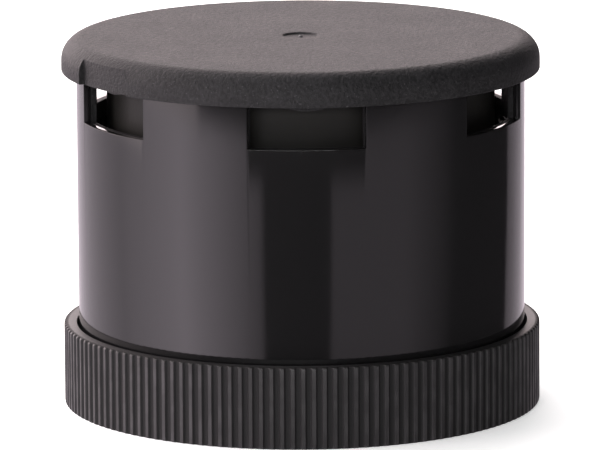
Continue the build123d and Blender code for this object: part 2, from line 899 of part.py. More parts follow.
def bend_radii(route):
    """Largest comfortable radius at each corner: 0.45 of the shorter run over tan of half the turn."""
    radii = []
    for before, corner, after in zip(route, route[1:], route[2:]):
        first, second = Vector(*corner) - Vector(*before), Vector(*after) - Vector(*corner)
        turn = math.radians(first.get_angle(second))
        radii.append(0.45 * min(first.length, second.length) / math.tan(turn / 2))
    print("wire radii", [round(radius, 1) for radius in radii])
    return radii


# ---------------------------------------------------------------- write
def write(name, shape):
    """One STEP file per sub-part; a list is a group of separate solids."""
    solids = shape if isinstance(shape, list) else [shape]
    solids = [solid for item in solids for solid in item.solids()]
    export_step(Compound(children=solids) if len(solids) > 1 else solids[0], f"parts/{name}.step")
    print(name, len(solids), round(sum(solid.volume for solid in solids), 1))


def main():
    os.makedirs("parts", exist_ok=True)
    write("top_cap", make_cap())
    write("housing", make_housing())
    write("lock_ring", make_lock_ring())
    write("base_plate", make_base_plate())
    write("tower_gasket", make_tower_gasket())
    write("connector_body", make_connector_body())
    write("contact_pins", make_contact_pins())
    write("base_screws", make_base_screws())
    write("circuit_board", make_circuit_board())
    write("board_screws", make_board_screws())
    write("capacitors", make_capacitors())
    write("step_up_core", make_step_up_core())
    write("step_up_winding", make_step_up_winding())
    write("driver_chip", make_driver_chip())
    write("chip_legs", make_chip_legs())
    write("rectifier", make_rectifier())
    write("chip_resistors", make_small_parts())
    write("volume_trimmer_body", make_trimmer_body())
    write("volume_trimmer_rotor", make_trimmer_rotor())
    write("tone_switch_body", make_switch_body())
    write("tone_switch_slider", make_switch_slider())
    write("driver_seal", make_driver_seal())
    write("driver_basket", make_basket())
    write("front_plate", make_front_plate())
    write("magnet", make_magnet())
    write("yoke", make_yoke())
    write("diaphragm", make_diaphragm())
    write("voice_coil", make_voice_coil())
    write("surround", make_surround())
    write("horn_cover", make_horn_cover())
    write("sound_screen", make_sound_screen())
    write("driver_screws", make_driver_screws())
    write("terminal_tags", make_terminal_tags())
    write("tag_strip", make_tag_board())
    write("driver_wire_red", make_wire(wire_degrees[0]))
    write("driver_wire_black", make_wire(wire_degrees[1]))


main()
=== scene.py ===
import math
import bmesh
import bpy
from mathutils import Matrix, Vector


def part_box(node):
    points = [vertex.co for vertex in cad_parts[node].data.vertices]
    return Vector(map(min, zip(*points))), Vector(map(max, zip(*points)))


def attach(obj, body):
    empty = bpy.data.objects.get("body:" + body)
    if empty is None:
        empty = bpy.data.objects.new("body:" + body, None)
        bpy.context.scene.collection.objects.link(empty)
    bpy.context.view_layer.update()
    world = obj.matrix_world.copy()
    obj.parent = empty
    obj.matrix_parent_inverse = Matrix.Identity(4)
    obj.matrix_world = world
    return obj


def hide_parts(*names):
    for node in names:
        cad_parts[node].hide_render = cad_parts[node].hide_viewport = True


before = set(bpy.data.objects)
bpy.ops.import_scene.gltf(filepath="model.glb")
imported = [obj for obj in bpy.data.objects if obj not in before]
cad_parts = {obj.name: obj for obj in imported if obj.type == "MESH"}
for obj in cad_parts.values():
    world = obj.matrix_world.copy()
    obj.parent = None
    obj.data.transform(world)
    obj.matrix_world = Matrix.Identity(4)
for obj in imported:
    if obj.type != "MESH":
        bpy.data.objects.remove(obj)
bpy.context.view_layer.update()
mm = 0.001
print("frame loaded:", len(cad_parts), "CAD nodes")


def boxOf(node):
    low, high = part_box(node)
    return low / mm, high / mm


# places read from the frame, in millimetres
capHigh = boxOf("top_cap")[1]
tubeLow, tubeHigh = boxOf("housing")
ringHigh = boxOf("lock_ring")[1]
screwLow, screwHigh = boxOf("base_screws")
pinLow, pinHigh = boxOf("contact_pins")
plateThickness = 2.0
plateTop = boxOf("base_plate")[0].z + plateThickness


# ---- node graphs ----
class Wire:
    # a socket that takes part in sums, so that shader maths reads as plain maths
    def __init__(self, graph, socket):
        self.graph = graph
        self.socket = socket

    def maths(self, operation, *values):
        return self.graph.add("ShaderNodeMath", {"operation": operation}, dict(enumerate(values)))

    def __add__(self, other):
        return self.maths("ADD", self, other)

    def __sub__(self, other):
        return self.maths("SUBTRACT", self, other)

    def __rsub__(self, other):
        return self.maths("SUBTRACT", other, self)

    def __mul__(self, other):
        return self.maths("MULTIPLY", self, other)

    def __truediv__(self, other):
        return self.maths("DIVIDE", self, other)

    def __pow__(self, other):
        return self.maths("POWER", self, other)

    __radd__ = __add__
    __rmul__ = __mul__


class Graph:
    def __init__(self, tree):
        self.tree = tree

    def add(self, kind, settings=None, inputs=None, output=0):
        node = self.tree.nodes.new(kind)
        for name, value in (settings or {}).items():
            if name == "stops":
                self.setStops(node, value)
            else:
                setattr(node, name, value)
        for name, value in (inputs or {}).items():
            if isinstance(value, Wire):
                self.tree.links.new(value.socket, node.inputs[name])
            else:
                node.inputs[name].default_value = value
        return Wire(self, node.outputs[output]) if node.outputs else None

    def setStops(self, node, stops):
        ramp = node.color_ramp.elements
        while len(ramp) < len(stops):
            ramp.new(1.0)
        for stop, (place, colour) in zip(ramp, stops):
            stop.position = place
            stop.color = colour

    def place(self):
        # the object's own coordinates
        return self.add("ShaderNodeTexCoord", output=3)

    def noise(self, size, detail=2.0, vector=None):
        # value noise whose lumps are about size millimetres across
        values = {"Vector": vector or self.place(), "Scale": 1 / (size * mm), "Detail": detail}
        return self.add("ShaderNodeTexNoise", None, values)

    def parts(self, vector):
        split = self.add("ShaderNodeSeparateXYZ", None, {0: vector})
        return [Wire(self, socket) for socket in split.socket.node.outputs]

    def blend(self, factor, first, second):
        values = {0: factor, 6: first, 7: second}
        return self.add("ShaderNodeMix", {"data_type": "RGBA"}, values, output=2)

    def between(self, value, low, high):
        # 0 below low, 1 above high, smooth in the middle
        settings = {"interpolation_type": "SMOOTHSTEP"}
        return self.add("ShaderNodeMapRange", settings, {0: value, 1: low, 2: high})

    def bump(self, height, depth):
        values = {"Height": height, "Distance": depth * mm, "Strength": 1.0}
        return self.add("ShaderNodeBump", None, values)


def fromAxis(along, across):
    return (along * along + across * across) ** 0.5


def grey(level, tint=(1.0, 1.0, 1.0)):
    return (level * tint[0], level * tint[1], level * tint[2], 1.0)


def shade(colour, factor):
    return (colour[0] * factor, colour[1] * factor, colour[2] * factor, 1.0)


def newMaterial(name, inputs):
    # inputs is a function that gives the shader's sockets for a graph
    made = bpy.data.materials.new(name)
    made.use_nodes = True
    made.node_tree.nodes.clear()
    graph = Graph(made.node_tree)
    shader = graph.add("ShaderNodeBsdfPrincipled", None, inputs(graph))
    graph.add("ShaderNodeOutputMaterial", None, {"Surface": shader})
    return made


# ---- materials of what is seen ----
capFinish = {
    "colour": grey(0.014, (1.0, 0.96, 1.04)),
    "rough": 0.6,
    "shine": 0.22,
    "sparkSize": 0.5,
    "sparkDepth": 0.24,
    "fineShare": 0.45,
    "cloudSize": 9.0,
    "tones": (0.65, 1.35),
    "speckAndStubHighlightTone": 6.0,
    "nub": 0.42,
    "nubEdge": 0.8,
}


def capPlastic(graph):
    # spark-eroded grain with a few light specks, and the stub of the moulding gate, smoother and
    # painted light as a painted highlight
    look = capFinish
    along, across = graph.parts(graph.place())[:2]
    radius = fromAxis(along, across)
    stubPolishAndHighlight = 1 - graph.between(radius, look["nub"] * look["nubEdge"] * mm, look["nub"] * mm)
    spark = graph.noise(look["sparkSize"], 3.0)
    fine = graph.noise(look["sparkSize"] * look["fineShare"], 2.0)
    cloud = graph.noise(look["cloudSize"], 3.0)
    specks = graph.between(fine, 0.66, 0.74)
    tone = graph.between(cloud * 0.35 + spark * 0.65, 0.36, 0.64)
    dark, light = [shade(look["colour"], factor) for factor in look["tones"]]
    grained = graph.blend(tone, dark, light)
    # the gate stub's colour is painted light: a painted highlight on the nub
    speckledAndStubHighlit = graph.blend(specks * 0.6 + stubPolishAndHighlight, grained, shade(look["colour"], look["speckAndStubHighlightTone"]))
    return {
        "Base Color": speckledAndStubHighlit,
        "Roughness": look["rough"] + (cloud - 0.5) * 0.12 + (spark - 0.5) * 0.3 - stubPolishAndHighlight * 0.3,
        "Normal": graph.bump(spark * 0.7 + fine * 0.3, look["sparkDepth"]),
        "Specular IOR Level": look["shine"],
    }


tubeFinish = {
    "colour": grey(0.0075, (1.0, 0.96, 1.02)),
    "rough": 0.09,
    "sinkSize": 7.0,
    "sinkDepth": 0.012,
    "hazeSize": 2.2,
    "dustSize": 0.35,
    "dustTone": 3.0,
}


def tubeGloss(graph):
    # deep gloss with slight sink marks, a thin haze and a little dust
    look = tubeFinish
    swell = graph.noise(look["sinkSize"], 2.0)
    haze = graph.noise(look["hazeSize"], 4.0)
    dust = graph.noise(look["dustSize"], 2.0)
    specks = graph.between(dust, 0.74, 0.80)
    return {
        "Base Color": graph.blend(specks, look["colour"], shade(look["colour"], look["dustTone"])),
        "Roughness": look["rough"] + (haze - 0.5) * 0.06 + specks * 0.15,
        "Normal": graph.bump(swell, look["sinkDepth"]),
    }


ringFinish = {
    "colour": grey(0.0165, (1.03, 0.97, 1.02)),
    "rough": 0.5,
    "shine": 0.45,
    "grain": 0.3,
    "crestPatchSize": 3.0,
    "grooveFrom": (0.7, 0.5),
    "crestFrom": (0.3, 0.05),
    "crestHighlightTone": 1.6,
    "grooveShadeTone": 0.3,
}


def ringPlastic(graph):
    # crests painted lighter in patches as a painted highlight, and a little smoother; grooves
    # painted darker as painted shade, and rougher
    look = ringFinish
    along, across = graph.parts(graph.place())[:2]
    radius = fromAxis(along, across)
    groove = graph.between(radius, *[(ringHigh.x - inset) * mm for inset in look["grooveFrom"]])
    crest = graph.between(radius, *[(ringHigh.x - inset) * mm for inset in look["crestFrom"]])
    sunk = groove * (1 - crest)
    grain = graph.noise(look["grain"], 3.0)
    crestPatchNoise = graph.noise(look["crestPatchSize"], 4.0)
    # crest patches painted lighter: a painted highlight on the rib tops
    crestHighlightPatches = crest * graph.between(crestPatchNoise, 0.4, 0.62)
    crestHighlit = graph.blend(crestHighlightPatches, look["colour"], shade(look["colour"], look["crestHighlightTone"]))
    return {
        # grooves painted darker: painted shade between the ribs
        "Base Color": graph.blend(sunk, crestHighlit, shade(look["colour"], look["grooveShadeTone"])),
        "Roughness": look["rough"] + (grain - 0.5) * 0.14 - crestHighlightPatches * 0.06 + sunk * 0.2,
        "Normal": graph.bump(grain, 0.02),
        "Specular IOR Level": look["shine"],
    }


def plasticLook(colour, rough=0.45, grainSize=0.4, grainDepth=0.02, shine=0.5):
    # moulded plastic with a fine grain and slow changes of tone
    def inputs(graph):
        grain = graph.noise(grainSize, 3.0)
        cloud = graph.noise(6.0, 3.0)
        return {
            "Base Color": graph.blend(cloud, shade(colour, 0.85), shade(colour, 1.15)),
            "Roughness": rough + (grain - 0.5) * 0.15 + (cloud - 0.5) * 0.1,
            "Normal": graph.bump(grain, grainDepth),
            "Specular IOR Level": shine,
        }

    return inputs


def metalLook(colour, rough=0.3, lineSize=0.25):
    # plated metal with fine lines and slight stains
    def inputs(graph):
        values = {"Vector": graph.place(), "Scale": (1.0, 1.0, 0.12)}
        stretch = graph.add("ShaderNodeMapping", None, values)
        lines = graph.noise(lineSize, 3.0, stretch)
        stain = graph.noise(4.0, 4.0)
        return {
            "Base Color": graph.blend(stain, shade(colour, 0.8), shade(colour, 1.08)),
            "Metallic": 1.0 - graph.between(stain, 0.62, 0.9) * 0.15,
            "Roughness": rough + (lines - 0.5) * 0.2 + (stain - 0.5) * 0.2,
            "Normal": graph.bump(lines, 0.006),
        }

    return inputs


def rubberLook(colour):
    # dull rubber with a pale bloom in patches
    def inputs(graph):
        grain = graph.noise(0.25, 4.0)
        bloom = graph.noise(5.0, 4.0)
        return {
            "Base Color": graph.blend(graph.between(bloom, 0.45, 0.7), colour, shade(colour, 1.7)),
            "Roughness": 0.7 + (grain - 0.5) * 0.2,
            "Normal": graph.bump(grain, 0.03),
            "Sheen Weight": 0.15,
        }

    return inputs


def windingLook(colour, pitch):
    # layers of enamelled wire round a vertical core, painted darker between the turns as painted
    # shade
    def inputs(graph):
        up = graph.parts(graph.place())[2]
        turn = up.maths("SINE", up * (2 * math.pi / (pitch * mm)))
        cloud = graph.noise(1.0, 3.0)
        return {
            # painted shade in the hollows between the turns
            "Base Color": graph.blend(turn * 0.5 + 0.5, shade(colour, 0.35), colour),
            "Metallic": 0.85 + (cloud - 0.5) * 0.2,
            "Roughness": 0.28 + (cloud - 0.5) * 0.2,
            "Normal": graph.bump(turn, 0.04),
        }

    return inputs


def laminateLook(colour):
    # solder mask over copper tracks
    def inputs(graph):
        grid = graph.add(
            "ShaderNodeTexVoronoi",
            {"distance": "MANHATTAN", "feature": "F1"},
            {"Vector": graph.place(), "Scale": 1 / (2.6 * mm), "Randomness": 0.6},
        )
        track = graph.between(grid, 0.30, 0.34) * (1 - graph.between(grid, 0.46, 0.50))
        weave = graph.noise(0.3, 2.0)
        return {
            "Base Color": graph.blend(track, colour, shade(colour, 1.9)),
            "Roughness": 0.32 + (weave - 0.5) * 0.15,
            "Normal": graph.bump(track + weave * 0.2, 0.03),
        }

    return inputs


def ferriteLook(colour):
    # sintered and slightly pitted
    def inputs(graph):
        pits = graph.noise(0.5, 5.0)
        cloud = graph.noise(5.0, 2.0)
        return {
            "Base Color": graph.blend(pits, shade(colour, 0.7), shade(colour, 1.2)),
            "Metallic": 0.25 + (cloud - 0.5) * 0.2,
            "Roughness": 0.55 + (pits - 0.5) * 0.3,
            "Normal": graph.bump(pits, 0.05),
        }

    return inputs


def meshLook(colour, pitch):
    # plain weave of fine yarn, painted lighter where the yarn stands up and darker where it sinks,
    # as painted highlight and painted shade
    def inputs(graph):
        along, across = graph.parts(graph.place())[:2]
        step = 2 * math.pi / (pitch * mm)
        warp = along.maths("SINE", along * step)
        weft = across.maths("SINE", across * step)
        cross = warp * weft
        return {
            # painted highlight on the raised yarn, painted shade in the hollows
            "Base Color": graph.blend(cross * 0.5 + 0.5, shade(colour, 0.4), shade(colour, 1.8)),
            "Roughness": 0.7 + cross * 0.1,
            "Normal": graph.bump(cross, 0.05),
        }

    return inputs


print("materials")
finishes = {
    "capPlastic": capPlastic,
    "tubeGloss": tubeGloss,
    "ringPlastic": ringPlastic,
    "drumMatt": plasticLook(grey(0.013, (1.05, 1.0, 0.93)), 0.42, 0.6, 0.02, 0.15),
    "basePlastic": plasticLook(grey(0.03), 0.42),
    "nylon": plasticLook((0.52, 0.48, 0.38, 1), 0.4),
    "gasketRubber": rubberLook(grey(0.018)),
    "goldPlate": metalLook((0.85, 0.62, 0.24, 1), 0.2),
    "zincSteel": metalLook((0.62, 0.63, 0.65, 1), 0.28),
    "solderMask": laminateLook((0.012, 0.10, 0.035, 1)),
    "sleeve": plasticLook((0.012, 0.014, 0.04, 1), 0.22, 0.8, 0.01),
    "ferrite": ferriteLook(grey(0.05)),
    "copperWinding": windingLook((0.75, 0.30, 0.12, 1), 0.35),
    "epoxy": plasticLook(grey(0.014), 0.5, 0.2, 0.015),
    "tinned": metalLook((0.75, 0.75, 0.74, 1), 0.25),
    "resistor": plasticLook(grey(0.02), 0.3, 0.3, 0.01),
    "trimmerBlue": plasticLook((0.02, 0.09, 0.36, 1), 0.38),
    "rotorWhite": plasticLook((0.62, 0.60, 0.54, 1), 0.42),
    "switchBlack": plasticLook(grey(0.02), 0.4),
    "foam": rubberLook(grey(0.03)),
    "blackZinc": metalLook(grey(0.09), 0.4),
    "yellowZinc": metalLook((0.72, 0.60, 0.36, 1), 0.3),
    "coneFilm": plasticLook(grey(0.03), 0.3, 0.6, 0.02),
    "surroundRubber": rubberLook(grey(0.022)),
    "screenWeave": meshLook(grey(0.02), 0.5),
    "phenolic": plasticLook((0.25, 0.11, 0.035, 1), 0.45, 0.5, 0.03),
    "redSleeving": plasticLook((0.45, 0.012, 0.01, 1), 0.32, 0.5, 0.01),
    "blackSleeving": plasticLook(grey(0.015), 0.32, 0.5, 0.01),
}
materials = {name: newMaterial(name, inputs) for name, inputs in finishes.items()}

cadFinish = {
    "base_plate": "basePlastic",
    "tower_gasket": "gasketRubber",
    "connector_body": "nylon",
    "circuit_board": "solderMask",
    "board_screws": "zincSteel",
    "capacitors": "sleeve",
    "step_up_core": "ferrite",
    "step_up_winding": "copperWinding",
    "driver_chip": "epoxy",
    "chip_legs": "tinned",
    "rectifier": "epoxy",
    "chip_resistors": "resistor",
    "volume_trimmer_body": "trimmerBlue",
    "volume_trimmer_rotor": "rotorWhite",
    "tone_switch_body": "switchBlack",
    "tone_switch_slider": "rotorWhite",
    "driver_seal": "foam",
    "driver_basket": "blackZinc",
    "front_plate": "yellowZinc",
    "magnet": "ferrite",
    "yoke": "yellowZinc",
    "diaphragm": "coneFilm",
    "voice_coil": "copperWinding",
    "surround": "surroundRubber",
    "horn_cover": "drumMatt",
    "sound_screen": "screenWeave",
    "driver_screws": "zincSteel",
    "terminal_tags": "goldPlate",
    "tag_strip": "phenolic",
    "driver_wire_red": "redSleeving",
    "driver_wire_black": "blackSleeving",
}
for node, finish in cadFinish.items():
    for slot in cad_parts[node].material_slots:
        slot.material = materials[finish]


# ---- mesh tools ----
roundSteps = 288
halfStep = 360 / roundSteps / 2


def ringPoint(radius, degrees, height):
    turn = math.radians(degrees)
    return Vector((radius * math.cos(turn), radius * math.sin(turn), height)) * mm


def arc(centre, radius, start, end, steps=8):
    # points of a circular arc in the (radius, height) plane
    turns = [math.radians(start + (end - start) * k / steps) for k in range(steps + 1)]
    return [(centre[0] + radius * math.cos(t), centre[1] + radius * math.sin(t)) for t in turns]


def newPiece(name, mesh, finish):
    piece = bpy.data.objects.new(name, mesh)
    bpy.context.scene.collection.objects.link(piece)
    mesh.materials.clear()
    mesh.materials.append(materials[finish])
    return piece


def sweep(outline, start=0.0, turn=360.0, steps=roundSteps):
    # closed solid: an outline of (radius, height) points turned about the axis
    made = bmesh.new()
    whole = turn >= 360
    columns = steps if whole else steps + 1
    grid = []
    for k in range(columns):
        grid.append([made.verts.new(ringPoint(r, start + turn * k / steps, z)) for r, z in outline])
    count = len(outline)
    for k in range(steps):
        left, right = grid[k], grid[(k + 1) % columns]
        for j in range(count):
            after = (j + 1) % count
            made.faces.new((left[j], left[after], right[after], right[j]))
    if not whole:
        made.faces.new(grid[0])
        made.faces.new(list(reversed(grid[-1])))
    bmesh.ops.remove_doubles(made, verts=made.verts, dist=0.0001 * mm)
    bmesh.ops.recalc_face_normals(made, faces=made.faces)
    mesh = bpy.data.meshes.new("swept")
    made.to_mesh(mesh)
    made.free()
    return mesh


def slab(low, high, bottom, top):
    # outline of a plain rectangle between two radii
    return [(low, bottom), (high, bottom), (high, top), (low, top)]


def moved(mesh, place):
    mesh.transform(Matrix.Translation(place))
    return mesh


def block(reach, half, heights, degrees):
    # cuboid that runs outwards between two radii, at an angle about the axis
    made = bmesh.new()
    size = (reach[1] - reach[0], 2 * half, heights[1] - heights[0])
    middle = Vector(((reach[0] + reach[1]) / 2, 0, (heights[0] + heights[1]) / 2))
    scale = Matrix.Diagonal((*(side * mm for side in size), 1))
    bmesh.ops.create_cube(made, size=1.0, matrix=scale)
    bmesh.ops.translate(made, verts=made.verts, vec=middle * mm)
    swing = Matrix.Rotation(math.radians(degrees), 3, "Z")
    bmesh.ops.rotate(made, verts=made.verts, matrix=swing)
    mesh = bpy.data.meshes.new("block")
    made.to_mesh(mesh)
    made.free()
    return mesh


def joined(meshes):
    made = bmesh.new()
    for mesh in meshes:
        made.from_mesh(mesh)
    mesh = bpy.data.meshes.new("joined")
    made.to_mesh(mesh)
    made.free()
    return mesh


def settle(piece):
    # turns what the modifiers show into the piece's own mesh
    shown = piece.evaluated_get(bpy.context.evaluated_depsgraph_get())
    mesh = bpy.data.meshes.new_from_object(shown)
    piece.modifiers.clear()
    piece.data = mesh
    return piece


def cutAway(piece, meshes):
    cutter = newPiece("cutter", joined(meshes), "basePlastic")
    hole = piece.modifiers.new("cut", "BOOLEAN")
    hole.operation = "DIFFERENCE"
    hole.solver = "EXACT"
    hole.object = cutter
    settle(piece)
    bpy.data.objects.remove(cutter)
    return piece


def breakEdges(piece, width, segments=2):
    # bevels every corner that turns by more than 35 degrees
    edge = piece.modifiers.new("edges", "BEVEL")
    edge.width = width * mm
    edge.segments = segments
    edge.limit_method = "ANGLE"
    edge.angle_limit = math.radians(35)
    edge.harden_normals = False
    return settle(piece)


def smooth(piece, limit=32):
    piece.data.shade_smooth()
    piece.data.set_sharp_from_angle(angle=math.radians(limit))
    return piece


def show(piece, body, slot, *replaced):
    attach(piece, body)
    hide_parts(*replaced)
    return piece


# ---- geometry node trees ----
def blankTree(name, sizes):
    # sizes holds each input's value, whose kind picks the socket: whole number, number or material
    tree = bpy.data.node_groups.new(name, "GeometryNodeTree")
    tree.interface.new_socket("Geometry", in_out="INPUT", socket_type="NodeSocketGeometry")
    kinds = {int: "NodeSocketInt", float: "NodeSocketFloat"}
    for label, value in sizes.items():
        kind = kinds.get(type(value), "NodeSocketMaterial")
        tree.interface.new_socket(label, in_out="INPUT", socket_type=kind)
    tree.interface.new_socket("Geometry", in_out="OUTPUT", socket_type="NodeSocketGeometry")
    entry = tree.nodes.new("NodeGroupInput")
    graph = Graph(tree)
    return graph, {socket.name: Wire(graph, socket) for socket in entry.outputs if socket.name}


def closeTree(graph, geometry, material):
    real = graph.add("GeometryNodeRealizeInstances", None, {0: geometry})
    done = graph.add("GeometryNodeSetMaterial", None, {0: real, "Material": material})
    graph.add("NodeGroupOutput", None, {0: done})
    return graph.tree


def runTree(piece, tree, values):
    grow = piece.modifiers.new(tree.name, "NODES")
    grow.node_group = tree
    for socket in tree.interface.items_tree:
        if socket.in_out == "INPUT" and socket.name in values:
            grow[socket.identifier] = values[socket.name]
    return settle(piece)


def ribTree(sizes):
    # presses a row of grooves into the outside of a round wall
    graph, given = blankTree("gripRibs", sizes)
    place = graph.add("GeometryNodeInputPosition")
    along, across, up = graph.parts(place)
    radius = fromAxis(along, across)
    turn = across.maths("ARCTAN2", across, along) / (2 * math.pi) + 1.0
    phase = (turn * given["Ribs"]).maths("FRACT", turn * given["Ribs"])
    fromCrest = (phase - 0.5).maths("ABSOLUTE", phase - 0.5)
    groove = graph.between(fromCrest, given["Crest half"], given["Root half"])
    limit = given["Crest radius"] - groove * given["Depth"]
    scale = radius.maths("MINIMUM", radius, limit) / radius
    spot = graph.add("ShaderNodeCombineXYZ", None, {0: along * scale, 1: across * scale, 2: up})
    values = {0: given["Geometry"], "Position": spot}
    pressed = graph.add("GeometryNodeSetPosition", None, values)
    return closeTree(graph, pressed, given["Material"])


def circleTree(sizes):
    # repeats the incoming mesh on a circle about the axis
    graph, given = blankTree("onCircle", sizes)
    points = graph.add("GeometryNodePoints", None, {"Count": given["Count"]})
    number = graph.add("GeometryNodeInputIndex")
    angle = number * given["Step"] + given["Start"]
    cosine, sine = angle.maths("COSINE", angle), angle.maths("SINE", angle)
    centre = {0: cosine * given["Radius"], 1: sine * given["Radius"], 2: given["Height"]}
    spot = graph.add("ShaderNodeCombineXYZ", None, centre)
    spread = graph.add("GeometryNodeSetPosition", None, {0: points, "Position": spot})
    turned = graph.add("ShaderNodeCombineXYZ", None, {2: angle})
    values = {0: spread, "Instance": given["Geometry"], "Rotation": turned}
    copies = graph.add("GeometryNodeInstanceOnPoints", None, values)
    return closeTree(graph, copies, given["Material"])


def rowTree(sizes):
    # repeats the incoming mesh in a row along X
    graph, given = blankTree("inRow", sizes)
    offset = graph.add("ShaderNodeCombineXYZ", None, {0: given["Pitch"]})
    begin = graph.add("ShaderNodeCombineXYZ", None, {0: given["Begin"]})
    values = {"Count": given["Count"], "Start Location": begin, "Offset": offset}
    line = graph.add("GeometryNodeMeshLine", {"mode": "OFFSET"}, values)
    values = {0: line, "Instance": given["Geometry"]}
    copies = graph.add("GeometryNodeInstanceOnPoints", None, values)
    return closeTree(graph, copies, given["Material"])


windowAngles = [270 + 60 * k for k in range(6)]
pillarAngles = [angle + 30 for angle in windowAngles]
postAngles = (30, 150, 270)
bossAngles = (90, 210, 330)

# ---- housing tube ----
tube = {
    "radius": 32.8,
    "wall": 1.9,
    "upperWall": 1.0,
    "step": 40.5,
    "sill": 43.0,
    "windowTurn": 30.0,
    "deck": (36.0, 38.0),
    "deckBore": 21.5,
    "edge": 0.3,
    "keySlot": 0.45,
    "keyHalf": 0.8,
    "past": 1.0,
}
deckHoles = {
    "drain": {"radius": 0.9, "circle": 29.65},
    "screw": {"radius": 1.35, "circle": 24.2},
}
snapCatch = {"turn": 14.0, "low": 8.2, "high": 9.7, "reach": 0.55, "face": 0.5, "root": 0.5}
post = {
    "radius": 3.2,
    "circle": 24.0,
    "height": 8.0,
    "web": 2.2,
    "webGap": 0.6,
    "webSink": 0.4,
    "bore": 1.1,
    "skin": 1.0,
}


def postOutline():
    # blind-bored column, round its own axis
    top = plateTop + post["height"]
    bottomOfBore = top - post["skin"]
    return [
        (post["bore"], plateTop), (post["radius"], plateTop), (post["radius"], top),
        (0, top), (0, bottomOfBore), (post["bore"], bottomOfBore),
    ]


def makeTube():
    outer, inner = tube["radius"], tube["radius"] - tube["wall"]
    bore = tube["radius"] - tube["upperWall"]
    foot, top, past = tubeLow.z, tubeHigh.z, tube["past"]
    low, high = tube["deck"]
    outline = [
        (outer, foot), (outer, top), (bore, top), (bore, tube["step"]), (inner, tube["step"]),
        (inner, high), (tube["deckBore"], high), (tube["deckBore"], low),
        (inner, low), (inner, foot),
    ]
    piece = newPiece("housingTube", sweep(outline, start=halfStep), "tubeGloss")
    half = tube["windowTurn"] / 2
    opening = slab(inner - 2 * past, outer + 2 * past, tube["sill"], top + past)
    cuts = [sweep(opening, angle - half, tube["windowTurn"], 24) for angle in windowAngles]
    for hole, angles in ((deckHoles["drain"], postAngles), (deckHoles["screw"], bossAngles)):
        for angle in angles:
            drill = sweep(slab(0, hole["radius"], low - past, high + past), steps=24)
            cuts.append(moved(drill, ringPoint(hole["circle"], angle, 0)))
    slot = (bore - past / 2, bore + tube["keySlot"])
    cuts.append(block(slot, tube["keyHalf"], (tube["step"], top + past), pillarAngles[0]))
    cutAway(piece, cuts)
    breakEdges(piece, tube["edge"], 3)
    root, reach, peak = outer - snapCatch["root"], outer + snapCatch["reach"], snapCatch["high"]
    hook = [
        (root, snapCatch["low"]), (outer, snapCatch["low"]), (reach, peak - snapCatch["face"]),
        (reach, peak), (root, peak),
    ]
    turn = snapCatch["turn"]
    extras = [sweep(hook, angle - turn / 2, turn, 12) for angle in windowAngles]
    web = (post["circle"] + post["bore"] + post["webGap"], inner + post["webSink"])
    for angle in postAngles:
        column = sweep(postOutline(), steps=48)
        extras.append(moved(column, ringPoint(post["circle"], angle, 0)))
        extras.append(block(web, post["web"] / 2, (plateTop, plateTop + post["height"]), angle))
    piece.data = joined([piece.data] + extras)
    piece.data.materials.append(materials["tubeGloss"])
    return show(smooth(piece, 20), "casing", "housing_plastic", "housing")


makeTube()
print("housing tube")

# ---- top cap ----
cap = {
    "thickness": 2.2,
    "rimHeight": 4.75,
    "bend": 3.2,
    "foot": 0.15,
    "rimGap": 0.2,
    "dishRadius": 2.62,
    "dishDepth": 0.27,
    "dishWall": 0.24,
    "nubRadius": 0.4,
    "nubDrop": 0.02,
    "topRings": (4, 8, 14, 20, 26),
    "hub": {"rim": 9, "tip": 0.8, "drop": 1.8},
    "edge": 0.07,
    "recessStart": 202.5,
    "recessTurn": 20.7,
    "recessDepth": 0.8,
    "skirtOuter": 31.75,
    "skirtInner": 30.9,
    "skirtFoot": 40.6,
    "tongueHalf": 4.1,
    "tongueSag": 1.0,
    "tongueWall": 1.3,
    "ribStart": 8.5,
    "ribHalf": 0.45,
    "ribHeight": 0.8,
    "keyHalf": 0.7,
    "keyDepth": 0.35,
    "sink": 0.1,
}


def tongueMesh(angle):
    # plate with a round lower end that hangs from the rim
    low = capHigh.z - cap["rimHeight"]
    half, sag = cap["tongueHalf"], cap["tongueSag"]
    bow = (half * half + sag * sag) / (2 * sag)
    steps = 16
    widths = [-half + 2 * half * k / steps for k in range(steps + 1)]
    lower = [(w, low - sag + bow - math.sqrt(bow * bow - w * w)) for w in widths]
    upper = capHigh.z - cap["thickness"] + 2 * cap["sink"]
    outline = lower + [(half, upper), (-half, upper)]
    made = bmesh.new()
    sides = []
    for radius in (cap["skirtOuter"] - cap["tongueWall"], cap["skirtOuter"]):
        sides.append([made.verts.new(Vector((radius, w, z)) * mm) for w, z in outline])
    for j in range(len(outline)):
        after = (j + 1) % len(outline)
        made.faces.new((sides[0][j], sides[0][after], sides[1][after], sides[1][j]))
    made.faces.new(sides[0])
    made.faces.new(list(reversed(sides[1])))
    bmesh.ops.recalc_face_normals(made, faces=made.faces)
    swing = Matrix.Rotation(math.radians(angle), 3, "Z")
    bmesh.ops.rotate(made, verts=made.verts, matrix=swing)
    mesh = bpy.data.meshes.new("tongue")
    made.to_mesh(mesh)
    made.free()
    return mesh


